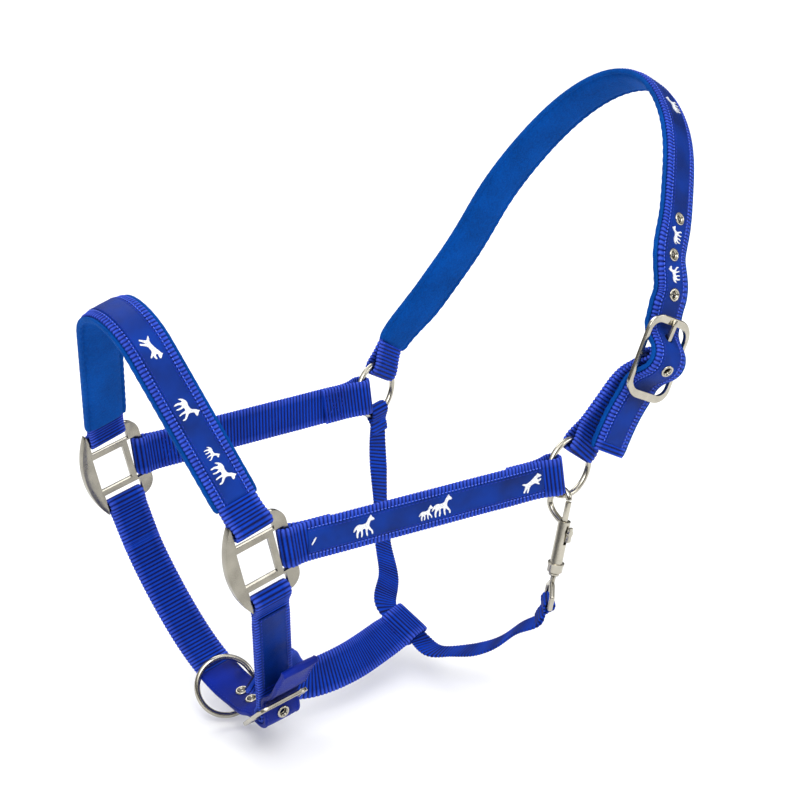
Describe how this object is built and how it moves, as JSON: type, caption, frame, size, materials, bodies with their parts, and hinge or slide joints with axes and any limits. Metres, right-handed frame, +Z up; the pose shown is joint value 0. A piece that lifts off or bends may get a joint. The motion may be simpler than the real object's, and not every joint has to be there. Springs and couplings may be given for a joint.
{
  "type": "head halter",
  "caption": "Padded nylon head halter for a horse: noseband, cheek straps, crown with buckle, adjustable chin strap, throat strap with snap hook, and a lead ring.",
  "frame": {"origin": "under the padded crest of the crown strap, where the halter hangs on the horse's poll", "axes": "-X to the horse's nose, +X to the poll, -Y the near (left) side, +Z up, with the halter standing open as worn"},
  "size_m": [0.4123, 0.2428, 0.3828],
  "materials": {
    "blue_webbing": "ribbed woven nylon webbing, royal blue",
    "blue_padding": "soft brushed fleece cover over foam, bright blue",
    "navy_ribbon": "navy satin ribbon with pale horse motifs, sewn on",
    "nickel": "polished nickel plate",
    "spring_steel": "bright drawn wire",
    "smooth_blue_tape": "smooth woven nylon tape, blue",
    "blank_tag": "white woven tape, blank"
  },
  "bodies": {
    "halter": {"chin_eyelets": "nickel", "chin_strap_cover": "smooth_blue_tape", "chin_washers": "nickel", "crown_chape": "blue_webbing", "crown_eyelets": "nickel", "crown_padding": "blue_padding", "crown_ribbon": "navy_ribbon", "crown_washers": "nickel", "crown_webbing": "blue_webbing", "far_cheek_ribbon": "navy_ribbon", "far_cheek_webbing": "blue_webbing", "far_chin_strap": "blue_webbing", "far_square": "nickel", "jaw_strap": "blue_webbing", "near_cheek_ribbon": "navy_ribbon", "near_cheek_webbing": "blue_webbing", "near_chin_ribbon": "navy_ribbon", "near_chin_strap": "blue_webbing", "near_square": "nickel", "noseband_padding": "blue_padding", "noseband_ribbon": "navy_ribbon", "noseband_webbing": "blue_webbing", "size_tag": "blank_tag", "snap_eye": "nickel", "throat_strap": "blue_webbing"},
    "near_cheek_ring": {"near_cheek_ring": "nickel"},
    "far_cheek_ring": {"far_cheek_ring": "nickel"},
    "lead_ring": {"lead_ring": "nickel"},
    "crown_buckle": {"crown_buckle_frame": "nickel"},
    "crown_tongue": {"crown_buckle_tongue": "nickel"},
    "chin_buckle": {"chin_buckle_frame": "nickel"},
    "chin_tongue": {"chin_buckle_tongue": "nickel"},
    "snap_hook": {"snap_body": "nickel", "snap_spring": "spring_steel"},
    "snap_bolt": {"snap_bolt": "nickel"}
  },
  "joints": [
    {"name": "near_cheek_ring_turn", "type": "hinge", "parent": "halter", "child": "near_cheek_ring", "pos_m": [-0.125, -0.0995, -0.2076], "axis": [0.1392, -0.9903, 0], "continuous": true},
    {"name": "far_cheek_ring_turn", "type": "hinge", "parent": "halter", "child": "far_cheek_ring", "pos_m": [-0.1345, 0.0995, -0.2125], "axis": [-0.2756, 0.9613, 0], "continuous": true},
    {"name": "lead_ring_swing", "type": "hinge", "parent": "halter", "child": "lead_ring", "pos_m": [-0.31066, 0.0089, -0.34613], "axis": [0.9702, 0.0011, 0.2422], "range_deg": [-5, 50]},
    {"name": "crown_buckle_rock", "type": "hinge", "parent": "halter", "child": "crown_buckle", "pos_m": [-0.073, -0.12, -0.141], "axis": [0.9063, 0, -0.4226], "range_deg": [-1.5, 1.5]},
    {"name": "crown_tongue_lift", "type": "hinge", "parent": "crown_buckle", "child": "crown_tongue", "pos_m": [-0.073, -0.12, -0.141], "axis": [0.9063, 0, -0.4226], "range_deg": [0, 2]},
    {"name": "chin_buckle_rock", "type": "hinge", "parent": "halter", "child": "chin_buckle", "pos_m": [-0.31278, -0.052, -0.33747], "axis": [0.9816, 0, 0.1908], "range_deg": [-1.5, 1.5]},
    {"name": "chin_tongue_lift", "type": "hinge", "parent": "chin_buckle", "child": "chin_tongue", "pos_m": [-0.31278, -0.052, -0.33747], "axis": [-0.9816, 0, -0.1908], "range_deg": [0, 2]},
    {"name": "snap_swivel", "type": "hinge", "parent": "halter", "child": "snap_hook", "pos_m": [-0.1281, -0.10614, -0.21978], "axis": [0.1551, -0.068, 0.9856], "range_deg": [-20, 2]},
    {"name": "snap_bolt_slide", "type": "slide", "parent": "snap_hook", "child": "snap_bolt", "axis": [-0.1551, 0.068, -0.9856], "range_m": [0, 0.007], "stiffness_N_per_m": 250, "springref_m": -0.004, "deforming": ["snap_spring"]}
  ]
}
